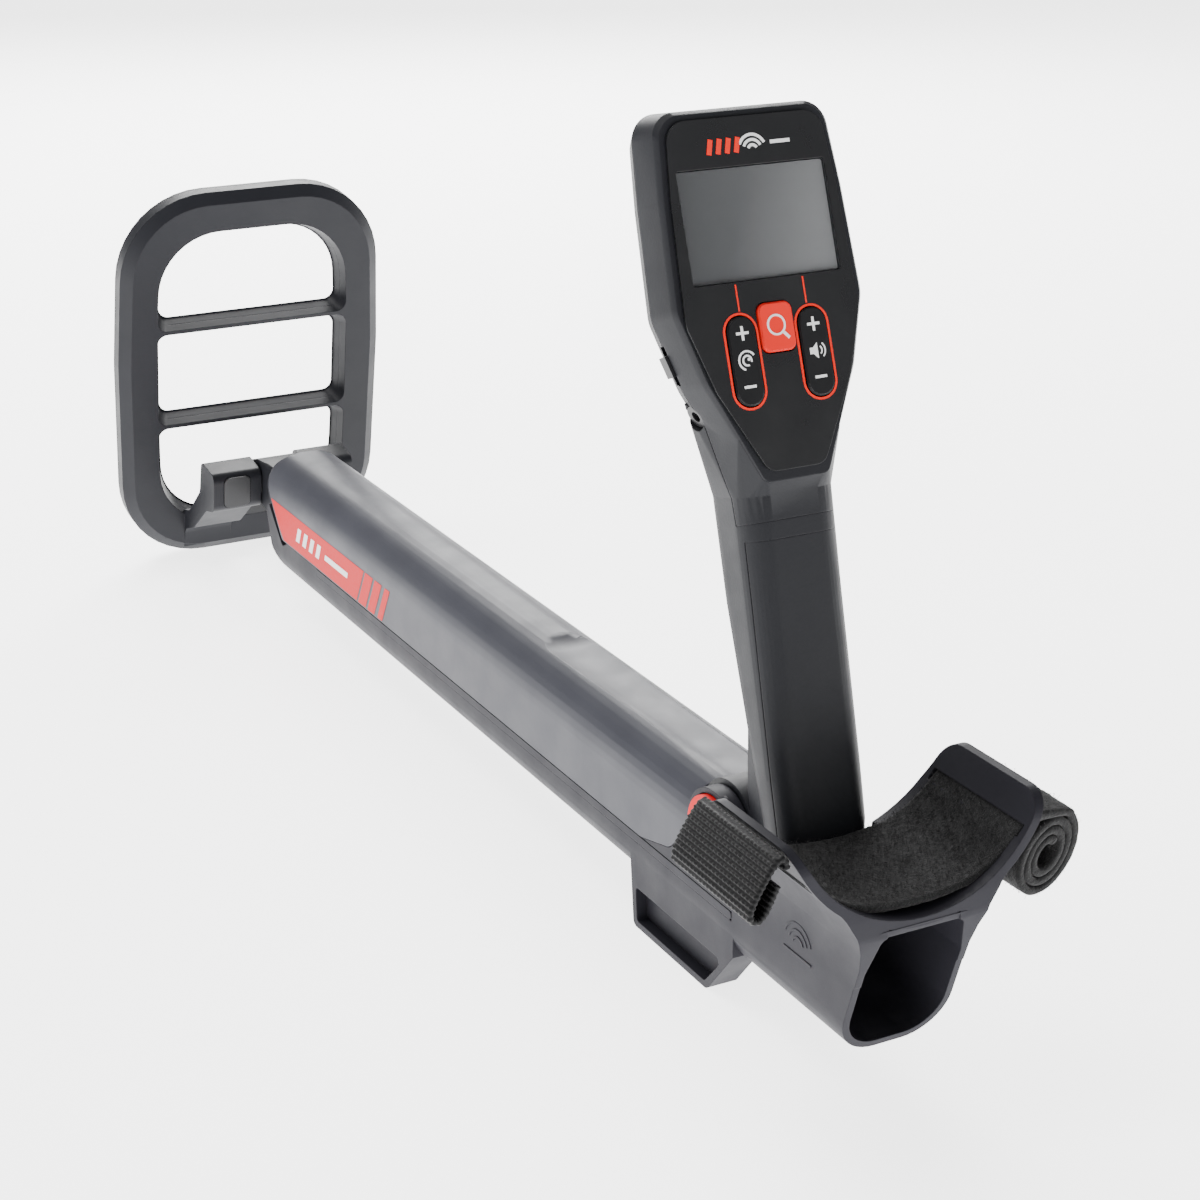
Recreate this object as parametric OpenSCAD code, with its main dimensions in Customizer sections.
// Folding metal detector with a telescoping shaft, an upright grip and a tilting search coil.
// Millimetres, +Z up, +Y towards the search coil. Origin: centre of the footprint on the ground.

/* [Body] */
// Width of the shaft housing
body_width = 40; // [36:1:44]
// Wall thickness of the mouldings
wall = 2.4; // [2:0.1:3]
// Height of the seam between housing and cover
seam_z = 37; // [35:0.5:39]
// Height of the top of the cover
cover_z = 73.2; // [71:0.2:75]
// Depth of the groove the folded grip lies in
groove_depth = 2.8; // [1:0.2:3]

/* [Search coil] */
// Width of the coil
coil_width = 132.8; // [120:0.4:140]
// Thickness of the coil
coil_thick = 13; // [11:0.5:16]
// Backward lean of the coil
coil_lean = 9.4; // [0:0.2:20]

/* [Grip] */
// Forward lean of the grip
grip_lean = 14.4; // [10:0.2:18]
// Forward lean of the control pod
pod_lean = 20; // [15:0.5:25]
// Width of the grip
grip_width = 34.8; // [30:0.2:36]

/* [Hidden] */
$fn = 48;
hw = body_width / 2;
y_mid = -3;
py = -205.5;
pz = 59.4;
hinge = [0, 248.1, 48.6];
coil_at = [0, 276.5, 83.5];
s_low = -84.4;
s_top = 103.7;
band = 21.8;
face_t = 56;
seam_t = 43;
strap_rear = -293;
strap_front = -247;

// Corner rounding: each corner is [x, y, radius].
function two(p) = [p[0], p[1]];
function unit(v) = v / norm(v);
function turn(a) = a > 180 ? a - 360 : (a < -180 ? a + 360 : a);
function fillet(a, b, c) =
  let (u = unit(two(a) - two(b)), v = unit(two(c) - two(b)), h = acos(u * v) / 2)
  let (m = two(b) + unit(u + v) * (b[2] / sin(h)), k = b[2] / tan(h))
  let (p = two(b) + u * k - m, q = two(b) + v * k - m, s = atan2(p[1], p[0]))
  let (w = turn(atan2(q[1], q[0]) - s), n = max(2, ceil(abs(w) / 9)))
  [for (i = [0 : n]) m + b[2] * [cos(s + w * i / n), sin(s + w * i / n)]];
function rounded(p) = [for (i = [0 : len(p) - 1])
  each (p[i][2] == undef || p[i][2] == 0) ? [two(p[i])]
    : fillet(p[(i + len(p) - 1) % len(p)], p[i], p[(i + 1) % len(p)])];
function box_path(x0, x1, y0, y1, r) = rounded([[x0, y0, r], [x1, y0, r], [x1, y1, r],
  [x0, y1, r]]);

// Centres the footprint on the origin.
module place() {
  translate([0, y_mid, 0])
    children();
}

// Extrudes an X-Z outline from y0 to y1.
module along_y(y0, y1) {
  translate([0, y1, 0])
    rotate([90, 0, 0])
      linear_extrude(y1 - y0)
        children();
}

// Extrudes a Y-Z outline from x0 to x1.
module along_x(x0, x1) {
  translate([x0, 0, 0])
    rotate([90, 0, 90])
      linear_extrude(x1 - x0)
        children();
}

// A cylinder along X centred on a Y-Z point.
module rod_x(y, z, r, x0, x1) {
  translate([x0, y, z])
    rotate([0, 90, 0])
      cylinder(r = r, h = x1 - x0);
}

module both_sides() {
  children();
  mirror([1, 0, 0])
    children();
}

// Grip frame: origin on the pivot, +Z up the grip, +Y forward.
module in_grip() {
  translate([0, py, pz])
    rotate([-grip_lean, 0, 0])
      children();
}

// Pod frame: +Z up the face, +Y forward, so the face is at y = -face_t.
module in_pod() {
  translate([0, -205, 62.7])
    rotate([-pod_lean, 0, 0])
      children();
}

// Coil frame: +Z up the coil, rear face at y = 0.
module in_coil() {
  translate(coil_at)
    rotate([coil_lean, 0, 0])
      children();
}

// Extrudes an outline drawn on the pod face between depths t0 and t1.
module face_slab(t0, t1) {
  translate([0, -t0, 0])
    rotate([90, 0, 0])
      linear_extrude(t1 - t0)
        children();
}

module tube_outline(d) {
  polygon(rounded([[-hw + d, 16.2 + d, 15 - d], [hw - d, 16.2 + d, 15 - d],
    [hw - d, 50, 6], [17 - d, 66 - d, 3], [-17 + d, 66 - d, 3], [-hw + d, 50, 6]]));
}

module cuff_side() {
  polygon(rounded([[-297.2, 60, 0], [-297.2, 71, 0], [-294.7, 97, 9], [-246.5, 97, 9],
    [-243.5, 84, 4], [-241, 60, 0]]));
}

// Outline of the housing seen from the side.
module housing_side() {
  polygon(rounded([[-298, 68, 0], [-281, 16, 0], [146.9, 16, 0], [148.5, 18.6, 1],
    [178.4, 18.8, 6], [196, 20, 6], [204.6, 30, 8], [209, 45, 4], [207, 52, 2], [199.5, 44, 3],
    [190, 34, 2], [184, 37, 0], [-157.5, 37, 10], [-178, 42, 8], [-191.8, 55.3, 4],
    [-198, 66, 3], [-201, 74.5, 2], [-212, 74.5, 5], [-222, 66.6, 5], [-246, 66, 0],
    [-298, 68, 0]]));
}

module foot() {
  along_x(-19.5, -8.3)
    polygon(rounded([[-148.6, 29, 0], [-151.5, 0, 2.5], [-203, 0, 4], [-219.5, 20, 0],
      [-219.5, 29, 0]]));
}

module foot_pocket(x0, x1) {
  along_x(x0, x1)
    polygon(rounded([[-153, 15.5, 1.5], [-154, 2.6, 1.5], [-201.5, 2.6, 2.5],
      [-213, 15.5, 2]]));
}

// Main moulding: housing, cheeks, rear tube, arm cuff and feet.
module lower_housing() {
  color([0.33, 0.33, 0.36])
  place()
  difference() {
    union() {
      intersection() {
        union() {
          along_y(-299, -150)
            tube_outline(0);
          along_y(-222, -180)
            polygon(rounded([[-hw, 40, 0], [hw, 40, 0], [hw, 76, 5], [-hw, 76, 5]]));
          along_y(-151, 215)
            polygon(rounded([[-hw, 16.2, 15], [hw, 16.2, 15], [hw, 60, 0], [-hw, 60, 0]]));
        }
        along_x(-hw, hw)
          housing_side();
      }
      intersection() {
        along_y(-297.2, -241)
          difference() {
            translate([0, 113.5])
              circle(r = 48.8, $fn = 96);
            translate([0, 113.5])
              circle(r = 45.8, $fn = 96);
          }
        along_x(-60, 60)
          cuff_side();
      }
      // Flank rising into the wings of the cuff
      intersection() {
        both_sides()
          along_y(-297.2, -240)
            difference() {
              polygon([[-15, 45], [-hw, 45], [-20.1, 52], [-21.4, 59], [-24, 66], [-28, 72.6],
                [-33.2, 79.2], [-38, 84], [-30, 90], [-12, 75]]);
              translate([0, 113.5])
                circle(r = 46.6, $fn = 96);
            }
        along_x(-60, 60)
          polygon(rounded([[-281, 16, 0], [-297.2, 64, 0], [-297.2, 71, 0], [-295.4, 90, 0],
            [-245.2, 90, 0], [-241, 60, 12], [-233, 45, 0], [-233, 16, 0]]));
      }
      both_sides()
        foot();
      both_sides()
        rod_x(py, pz, 15.6, -hw, -14);
    }
    // Hollow of the tube
    difference() {
      along_y(-300, -60)
        tube_outline(wall);
      both_sides()
        rod_x(py, pz, 15.6, -hw, -14);
    }
    along_y(-151, 216)
      polygon(rounded([[-hw + wall, 18.6, 12.6], [hw - wall, 18.6, 12.6], [hw - wall, 80, 0],
        [-hw + wall, 80, 0]]));
    // Slot the grip turns in
    translate([-13.9, -247, 40])
      cube([27.8, 70, 40]);
    difference() {
      translate([-17.6, -247, 40])
        cube([35.2, 70, 40]);
      both_sides()
        rod_x(py, pz, 15.6, -hw, -14);
    }
    // Space under the saddle stays open to the tube end
    along_y(-250, -240)
      translate([0, 113.5])
        circle(r = 45.8, $fn = 96);
    // Recess and stem hole of the release button
    rod_x(py, pz, 13.8, -25, -15.6);
    rod_x(py, pz, 4, -25, -10);
    rod_x(py, pz, 3.9, 10, 25);
    // Pockets in the feet
    both_sides() {
      foot_pocket(-20.5, -15.2);
      foot_pocket(-12.6, -8);
    }
    // Strap slots
    both_sides()
      translate([-42, strap_rear - 0.5, 82.2])
        rotate([0, -35, 0])
          translate([-5, 0, -2.1])
            cube([12, strap_front - strap_rear + 1, 4.2]);
    // Seats of the side rails
    both_sides()
      translate([-hw - 1, -219, 33.6])
        cube([1.8, 366, 3.5]);
    // Screw holes through the floor
    for (y = [-120, 20, 150])
      translate([0, y, 10])
        cylinder(r = 2.1, h = 14);
  }
}

// Thin strips under the seam on both flanks.
module side_rails() {
  color([0.28, 0.28, 0.31])
  place()
  both_sides()
    along_x(-hw - 0.1, -hw + 0.7)
      polygon(rounded([[-218.8, 33.7, 1.5], [146.7, 33.7, 0], [146.7, 36.8, 0],
        [-218.8, 36.8, 1.5]]));
}

// Long round-ended cutter that leaves the shallow groove in the cover.
module groove() {
  r = 37.2;
  translate([0, -66, cover_z + r - groove_depth])
    rotate([89.5, 0, 0])
      rotate_extrude($fn = 96)
        polygon(concat([for (a = [0 : 6 : 90]) [r * sin(a), -0.85 * r * cos(a)]],
          [[r, 140], [0, 140]]));
}

// Grey cover over the shaft, with the groove for the folded grip.
module top_cover() {
  color([0.5, 0.5, 0.54])
  place()
  difference() {
    intersection() {
      along_y(-200, 214)
        polygon(rounded([[-hw, seam_z, 0], [hw, seam_z, 0], [hw, cover_z, 18],
          [-hw, cover_z, 18]]));
      along_x(-hw - 1, hw + 1)
        polygon(rounded([[-157, 37, 10], [-177.5, 42, 8], [-191.3, 55.3, 4],
          [-197.5, 66, 3], [-201.5, 77.3, 0], [202, 78, 0], [209.5, 65, 7], [200.5, 50, 8],
          [190, 37.1, 4]]));
    }
    // Hollow, with a thicker roof under the groove
    difference() {
      along_y(-201, 215)
        polygon(rounded([[-hw + wall, 30, 0], [hw - wall, 30, 0],
          [hw - wall, cover_z - wall, 15.6], [-hw + wall, cover_z - wall, 15.6]]));
      along_y(-210, -30)
        polygon([[-16, cover_z], [16, cover_z], [13, cover_z - wall - groove_depth],
          [-13, cover_z - wall - groove_depth]]);
    }
    // Rear edge follows the grip's barrel and the cheeks
    rod_x(py, pz, 18, -17.8, 17.8);
    both_sides()
      rod_x(py, pz, 16, -hw - 1, -13.6);
    groove();
  }
}

module shaft_outline(w, z0, z1, r) {
  polygon(box_path(-w, w, z0, z1, r));
}

// Dark rim that closes the front and guides the shaft.
module front_collar() {
  color([0.26, 0.26, 0.29])
  place()
  difference() {
    intersection() {
      along_y(160, 215)
        polygon(rounded([[-17.3, 18.9, 12.3], [17.3, 18.9, 12.3], [17.3, 70.5, 15.4],
          [-17.3, 70.5, 15.4]]));
      along_x(-20, 20)
        polygon(rounded([[160, 15, 0], [198, 15, 6], [206, 30, 8], [214.2, 57, 6],
          [214.2, 66, 5], [209, 75, 0], [160, 75, 0]]));
    }
    along_y(150, 220)
      shaft_outline(16.35, 23.65, 66.35, 9.4);
  }
}

module housing_screws() {
  color([0.6, 0.6, 0.62])
  place()
  for (y = [-120, 20, 150]) {
    translate([0, y, 16.4])
      cylinder(r = 3.2, h = 2);
    translate([0, y, 16.4])
      cylinder(r = 1.9, h = 2.3);
  }
}

// Fixed pin the grip turns on.
module pivot_pin() {
  color([0.7, 0.7, 0.72])
  place() {
    rod_x(py, pz, 3.9, -9, 19.4);
    rod_x(py, pz, 7.5, 20, 21);
    rod_x(py, pz, 3.9, 19.4, 20);
  }
}

// Soft lining strap lying in the cuff.
module strap_pad() {
  color([0.09, 0.09, 0.1])
  place()
  intersection() {
    along_y(strap_rear, strap_front)
      difference() {
        translate([0, 113.5])
          circle(r = 45.4, $fn = 96);
        translate([0, 113.5])
          circle(r = 42.6, $fn = 96);
      }
    translate([-60, -300, 60])
      cube([120, 100, 24.5]);
  }
}

// Short folded end of the strap outside the left wall.
module strap_loop() {
  color([0.08, 0.08, 0.09])
  place()
  along_y(strap_rear, strap_front)
    translate([-51.9, 86.3])
      rotate(-35)
        difference() {
          scale([0.45, 1])
            circle(r = 9.5);
          scale([0.2, 0.78])
            circle(r = 9.5);
        }
}

// Rolled-up free end of the strap outside the right wall.
module strap_roll() {
  color([0.08, 0.08, 0.09])
  place()
  along_y(strap_rear, strap_front)
    translate([47.8, 75.2])
      rotate(-30)
        scale([0.66, 1])
          difference() {
            circle(r = 16);
            circle(r = 4);
          }
}

// Red button that frees the grip.
module release_button() {
  color([0.85, 0.2, 0.22])
  place() {
    rod_x(py, pz, 13.4, -21.6, -18.6);
    rod_x(py, pz, 3.6, -18.6, -12);
  }
}

module mid_tube() {
  color([0.2, 0.2, 0.22])
  place()
  along_y(-150, 206)
    difference() {
      shaft_outline(16, 24, 66, 9);
      shaft_outline(14.2, 25.8, 64.2, 7.4);
    }
}

// Rear guide of the middle shaft, running inside the housing.
module mid_slider() {
  color([0.75, 0.75, 0.72])
  place()
  along_y(-150, -138)
    difference() {
      polygon(rounded([[-17.2, 19.1, 12.2], [17.2, 19.1, 12.2], [17.2, 67.2, 12],
        [-17.2, 67.2, 12]]));
      shaft_outline(16.02, 23.98, 66.02, 9);
    }
}

// Front guide inside the middle shaft.
module mid_bush() {
  color([0.75, 0.75, 0.72])
  place()
  along_y(184, 205)
    difference() {
      shaft_outline(14.18, 25.82, 64.18, 7.4);
      shaft_outline(12.4, 27.6, 62.4, 6.4);
    }
}

module lower_tube() {
  color([0.18, 0.18, 0.2])
  place()
  along_y(-130, 214)
    difference() {
      shaft_outline(12, 28, 62, 6);
      shaft_outline(10.4, 29.6, 60.4, 4.6);
    }
}

module lower_slider() {
  color([0.75, 0.75, 0.72])
  place()
  along_y(-130, -118)
    difference() {
      shaft_outline(13.8, 26.2, 63.8, 7);
      shaft_outline(12.02, 27.98, 62.02, 6);
    }
}

// Solid end of the lower shaft with the hinge eye.
module shaft_knuckle() {
  color([0.22, 0.22, 0.25])
  place()
  difference() {
    union() {
      along_y(170, 214.5)
        shaft_outline(10.35, 29.65, 60.35, 4.6);
      intersection() {
        along_y(214.1, 262)
          shaft_outline(10.8, 30, 61, 3);
        along_x(-10.8, 10.8)
          polygon(rounded([[200, 30, 0], [214, 30, 0], [226, 34, 10], [244, 38.5, 6],
            [257.6, 42, 8], [257.6, 56, 8], [246, 59.3, 6], [226, 61, 6], [200, 61, 0]]));
      }
    }
    rod_x(hinge[1], hinge[2], 3.05, -12, 12);
    along_x(-4, 4)
      polygon(rounded([[168, 34, 0], [205, 34, 3], [205, 56, 3], [168, 56, 0]]));
  }
}

module hinge_washers() {
  color([0.1, 0.1, 0.1])
  place()
  both_sides()
    difference() {
      rod_x(hinge[1], hinge[2], 8.6, 10.82, 11.4);
      rod_x(hinge[1], hinge[2], 3.05, 10, 12);
    }
}

// Outline of the coil and of its three openings, in the coil frame.
module coil_outline(d) {
  w = coil_width / 2 - d;
  polygon(rounded([[-w + 1.5, s_low + d, 41 - d], [w - 1.5, s_low + d, 41 - d],
    [w, 20, 60], [w - 3, s_top - d, 42 - d], [-w + 3, s_top - d, 42 - d], [-w, 20, 60]]));
}

module coil_window(i, d) {
  w = coil_width / 2 - band - d;
  if (i == 0)
    polygon(rounded([[-w, 41.2 + d, 5], [w, 41.2 + d, 5], [w - 2, s_top - band - d, 27 - d],
      [-w + 2, s_top - band - d, 27 - d]]));
  if (i == 1)
    polygon(box_path(-w, w, -8 + d, 32.2 - d, 5));
  if (i == 2)
    polygon(rounded([[-w, -17 - d, 5], [-w + 1, s_low + band - 1 + d, 27 - d],
      [w - 1, s_low + band - 1 + d, 27 - d], [w, -17 - d, 5]]));
}

module coil_windows(d) {
  for (i = [0 : 2])
    coil_window(i, d);
}

module coil_slab(y0, y1) {
  translate([0, y1, 0])
    rotate([90, 0, 0])
      linear_extrude(y1 - y0)
        children();
}

// One ear: rises from the bottom band to the hinge.
module coil_ear() {
  intersection() {
    along_x(11.5, 35.4)
      polygon(rounded([[3, -80, 0], [3, -60, 4], [-7, -56, 12], [-22.5, -38, 6],
        [-24.5, -20.6, 4], [-42.9, -20.6, 4], [-42.9, -39.5, 5], [-32, -44, 10],
        [-14, -62, 12], [-1, -69, 6], [0.5, -80, 0]]));
    coil_slab(-60, 4)
      polygon(rounded([[11.5, -84, 0], [35.4, -84, 0], [35.4, -18, 3], [11.5, -18, 2]]));
  }
}

// Rear half of the coil with crossbars and ears.
module coil_shell() {
  color([0.24, 0.25, 0.28])
  place()
  difference() {
    in_coil() {
      difference() {
        // Wide bevel round the rear edge
        hull() {
          coil_slab(0, 0.1)
            coil_outline(5);
          coil_slab(4, 9.4)
            coil_outline(0);
        }
        for (i = [0 : 2])
          hull() {
            coil_slab(-0.2, 0)
              coil_window(i, -3.6);
            coil_slab(3.4, 12)
              coil_window(i, 0);
          }
        coil_slab(4.4, 10)
          difference() {
            coil_outline(wall);
            coil_windows(-wall);
            translate([-hw, -84])
              square([40, 22]);
          }
      }
      difference() {
        both_sides()
          coil_ear();
        coil_slab(-60, 0)
          translate([-90, -120])
            square([180, 38]);
      }
    }
    rod_x(hinge[1], hinge[2], 3.05, -31, 31);
    // Seats of the rear caps
    in_coil()
      both_sides()
        coil_slab(-44, -42)
          polygon(box_path(17, 30.4, -38.2, -22.2, 3));
  }
}

// Front plate of the coil, the side that faces the ground in use.
module coil_base() {
  color([0.2, 0.21, 0.23])
  place()
  in_coil()
    difference() {
      hull() {
        coil_slab(9.45, 11.2)
          coil_outline(0);
        coil_slab(coil_thick - 0.1, coil_thick)
          coil_outline(1.8);
      }
      for (i = [0 : 2])
        hull() {
          coil_slab(9, 11.2)
            coil_window(i, 0);
          coil_slab(coil_thick, coil_thick + 0.2)
            coil_window(i, -1.8);
        }
    }
}

// Wire bundle sealed inside the ring.
module coil_winding() {
  color([0.72, 0.45, 0.2])
  place()
  in_coil()
    coil_slab(5, 9)
      difference() {
        coil_outline(5);
        coil_outline(11);
        translate([-22, -90])
          square([44, 32]);
      }
}

module hinge_bolt() {
  color([0.7, 0.7, 0.72])
  place()
    rod_x(hinge[1], hinge[2], 3, -30, 30);
}

module hinge_caps() {
  color([0.16, 0.17, 0.19])
  place()
  both_sides()
    in_coil()
      coil_slab(-43.15, -42)
        polygon(box_path(17.2, 30.2, -38, -22.4, 2.9));
}

// A thin rounded slice across the grip, used to build its swelling shape.
module grip_slice(z, front, w, r) {
  translate([0, 0, z])
    linear_extrude(0.2)
      polygon(box_path(-w, w, -41.4, front, r));
}

module pod_slice(t, d) {
  face_slab(t, t + 0.2)
    polygon(rounded([[-13 + d * 0.6, 108, 3], [13 - d * 0.6, 108, 3], [29 - d, 140, 16],
      [35.6 - d, 162, 12], [34.2 - d, 196, 30], [32 - d, 224.5 - d, 9 - d * 0.4],
      [-32 + d, 224.5 - d, 9 - d * 0.4], [-34.2 + d, 196, 30], [-35.6 + d, 162, 12],
      [-29 + d, 140, 16]]));
}

// Outer shape of grip and pod together.
module grip_body() {
  in_grip() {
    hull() {
      grip_slice(0, -26, 15.8, 7);
      grip_slice(4, -24, 17, 8);
      grip_slice(22, -22.4, 17.2, 8);
    }
    hull() {
      grip_slice(22, -22.4, 17.2, 8);
      grip_slice(78, -15.6, 17.4, 9);
    }
    hull() {
      grip_slice(78, -15.6, 17.4, 9);
      grip_slice(112, -14.6, 17.6, 9);
    }
  }
  hull() {
    in_grip()
      grip_slice(111.9, -14.6, 17.6, 9);
    in_pod()
      intersection() {
        pod_slice(38, 1);
        translate([-30, -60, 100])
          cube([60, 60, 36]);
      }
    in_pod()
      intersection() {
        pod_slice(54.2, 2.2);
        translate([-30, -60, 100])
          cube([60, 60, 22]);
      }
  }
  in_pod()
    hull() {
      pod_slice(34, 6);
      pod_slice(36, 2.6);
      pod_slice(seam_t, 0);
      pod_slice(53.2, 1.6);
      pod_slice(54.8, 3);
    }
}

module grip_root() {
  in_grip()
    union() {
      rod_x(0, 0, 17.4, -13.4, 13.4);
      along_x(-13.4, 13.4)
        polygon(rounded([[-37, 1, 2], [-37, 40, 0], [-20.6, 40, 0], [-15.3, 16, 3],
          [-15.3, 0, 0]]));
    }
}

// Everything behind the parting line: the strip down the grip and the face half of the pod.
module rear_half(g) {
  in_grip()
    along_x(-50, 50)
      polygon([[-36.4 - g, -20], [-36.4 - g, 98], [-60, 98], [-60, -20]]);
  in_pod()
    along_x(-50, 50)
      polygon([[-seam_t - g, 96], [-seam_t - g, 240], [-70, 240], [-70, 96]]);
}

module inner_space() {
  in_grip()
    translate([0, 0, 20.5])
      linear_extrude(105)
        polygon(box_path(-15.1, 15.1, -39, -24.1, 7));
  in_pod()
    face_slab(36.6, 52.4)
      polygon(rounded([[-9, 122, 0], [9, 122, 0], [25, 143, 0], [32, 163, 6],
        [28.5, 220, 5], [-28.5, 220, 5], [-32, 163, 6], [-25, 143, 0]]));
}

module door_outline(g) {
  in_grip()
    along_x(-12 - g, 12 + g)
      polygon([[-22.2 - g, 41 - g], [-8, 41 - g], [-8, 117 + g], [-16.9 - g, 117 + g]]);
}

// Openings in the pod for window, keys, switch and socket.
module pod_openings() {
  in_pod() {
    face_slab(50, 60)
      polygon(box_path(-26.4, 26.4, 169.6, 204.6, 1));
    for (x = [-12.7, 12.7])
      face_slab(50, 60)
        polygon(box_path(x - 5.3, x + 5.3, 131.2, 159.6, 5));
    face_slab(50, 60)
      polygon(box_path(-6.4, 6.4, 146.6, 162.6, 3));
    translate([-31.6, -41.5, 147.5])
      rotate([0, -17, 0])
        cube([9, 4.6, 13], center = true);
    translate([-24.4, -40, 131])
      rotate([0, -117, 0])
        cylinder(r = 4.1, h = 32, center = true);
  }
}

// Front shell: finger side of the grip, pivot barrel and underside of the pod.
module grip_front() {
  color([0.24, 0.25, 0.28])
  place()
  difference() {
    union() {
      difference() {
        grip_body();
        rear_half(-0.15);
      }
      difference() {
        grip_root();
        rear_half(-0.15);
      }
    }
    inner_space();
    pod_openings();
    door_outline(0.35);
    rod_x(py, pz, 4, -20, 20);
    rod_x(py, pz, 6, -20, -9.5);
  }
}

// Rear shell: palm side of the grip and face side of the pod.
module grip_rear() {
  color([0.25, 0.26, 0.29])
  place()
  difference() {
    intersection() {
      grip_body();
      rear_half(0.15);
    }
    inner_space();
    pod_openings();
  }
}

// Black control face.
module face_plate() {
  color([0.07, 0.07, 0.08])
  place()
  difference() {
    in_pod()
      face_slab(55.02, face_t)
        polygon(rounded([[-10, 111, 5], [10, 111, 5], [24, 137, 14], [30.9, 158, 10],
          [29.4, 196, 30], [27.2, 219.6, 7], [-27.2, 219.6, 7], [-29.4, 196, 30],
          [-30.9, 158, 10], [-24, 137, 14]]));
    pod_openings();
  }
}

module display_window() {
  color([0.7, 0.75, 0.78, 0.4])
  place()
  in_pod()
    face_slab(54.9, 55.9)
      polygon(box_path(-26.2, 26.2, 169.8, 204.4, 0.8));
}

module display_panel() {
  color([0.45, 0.46, 0.47])
  place()
  in_pod()
    face_slab(51.4, 54.7)
      polygon(box_path(-26.1, 26.1, 169.9, 204.3, 0.8));
}

module circuit_board() {
  color([0.1, 0.35, 0.2])
  place()
  in_pod()
    face_slab(45.5, 47.1)
      polygon(rounded([[-8, 126, 0], [8, 126, 0], [22, 145, 0], [27, 163, 3],
        [26, 216, 3], [-26, 216, 3], [-27, 163, 3], [-22, 145, 0]]));
}

module speaker() {
  color([0.15, 0.15, 0.16])
  place()
  in_pod() {
    translate([0, -37, 190])
      rotate([90, 0, 0])
        cylinder(r = 14, h = 3);
    translate([0, -40, 190])
      rotate([90, 0, 0])
        cylinder(r = 8, h = 4);
  }
}

module keypad_mat() {
  color([0.2, 0.2, 0.2])
  place()
  in_pod()
    face_slab(47.3, 48.8)
      polygon(rounded([[-12.5, 130.5, 2], [12.5, 130.5, 2], [18.5, 141, 4], [18.5, 164, 2],
        [-18.5, 164, 2], [-18.5, 141, 4]]));
}

// Four cells, two wide and two long.
module batteries() {
  color([0.75, 0.75, 0.3])
  place()
  in_grip()
    for (x = [-7.45, 7.45])
      for (z = [22.4, 73.2]) {
        translate([x, -31.6, z])
          cylinder(r = 7.2, h = 49);
        translate([x, -31.6, z + 49])
          cylinder(r = 2.7, h = 1.3);
      }
}

module battery_contacts() {
  color([0.8, 0.8, 0.8])
  place()
  in_grip()
    for (z = [21.2, 124.4])
      translate([0, 0, z])
        linear_extrude(0.6)
          polygon(box_path(-14, 14, -37.5, -25.5, 6));
}

// Headphone socket in the left edge of the pod.
module headphone_jack() {
  color([0.12, 0.12, 0.13])
  place()
  in_pod()
    translate([-24.4, -40, 131])
      rotate([0, -117, 0])
        difference() {
          translate([0, 0, -15.2])
            cylinder(r = 3.9, h = 14.5);
          translate([0, 0, -16])
            cylinder(r = 1.8, h = 17);
        }
}

module grip_screws() {
  color([0.6, 0.6, 0.62])
  place()
  in_pod()
    for (x = [-27.5, 27.5])
      for (z = [170, 212])
        translate([x * 0.85, -36.4, z])
          rotate([90, 0, 0])
            cylinder(r = 1.4, h = 9);
}

module rocker(x) {
  in_pod() {
    face_slab(49.2, 56.5)
      polygon(box_path(x - 4.9, x + 4.9, 131.7, 159.1, 4.6));
    face_slab(56.5, 56.9)
      polygon(box_path(x - 4.5, x + 4.5, 132.1, 158.7, 4.2));
  }
}

module rocker_left() {
  color([0.05, 0.05, 0.05])
  place()
    rocker(-12.7);
}

module rocker_right() {
  color([0.05, 0.05, 0.05])
  place()
    rocker(12.7);
}

module centre_key() {
  color([0.85, 0.2, 0.15])
  place()
  in_pod() {
    face_slab(49.7, 56.6)
      polygon(box_path(-6, 6, 147, 162.2, 2.8));
    face_slab(56.6, 57)
      polygon(box_path(-5.6, 5.6, 147.4, 161.8, 2.4));
  }
}

// Small power slide on the left edge of the pod.
module power_slider() {
  color([0.12, 0.12, 0.13])
  place()
  in_pod()
    translate([-31.6, -41.5, 147.5])
      rotate([0, -17, 0])
        translate([-0.6, -1.9, -3.4])
          cube([4.6, 3.8, 6.8]);
}

// Clip-off cover of the battery space.
module battery_door() {
  color([0.22, 0.23, 0.26])
  place()
  difference() {
    intersection() {
      grip_body();
      door_outline(0);
    }
    in_grip()
      translate([-20, -45, 20])
        cube([40, 20.8, 110]);
    in_grip()
      along_x(-20, 20)
        polygon([[-30, 20], [-24.1, 20], [-24.1, 41], [-18.9, 117.5], [-18.9, 130],
          [-30, 130]]);
  }
}

lower_housing();
top_cover();
side_rails();
front_collar();
housing_screws();
pivot_pin();
strap_pad();
strap_loop();
strap_roll();
release_button();
mid_tube();
mid_slider();
mid_bush();
lower_tube();
lower_slider();
shaft_knuckle();
hinge_washers();
coil_shell();
coil_base();
coil_winding();
hinge_bolt();
hinge_caps();
grip_front();
grip_rear();
face_plate();
display_window();
display_panel();
circuit_board();
speaker();
keypad_mat();
batteries();
battery_contacts();
headphone_jack();
grip_screws();
rocker_left();
rocker_right();
centre_key();
power_slider();
battery_door();
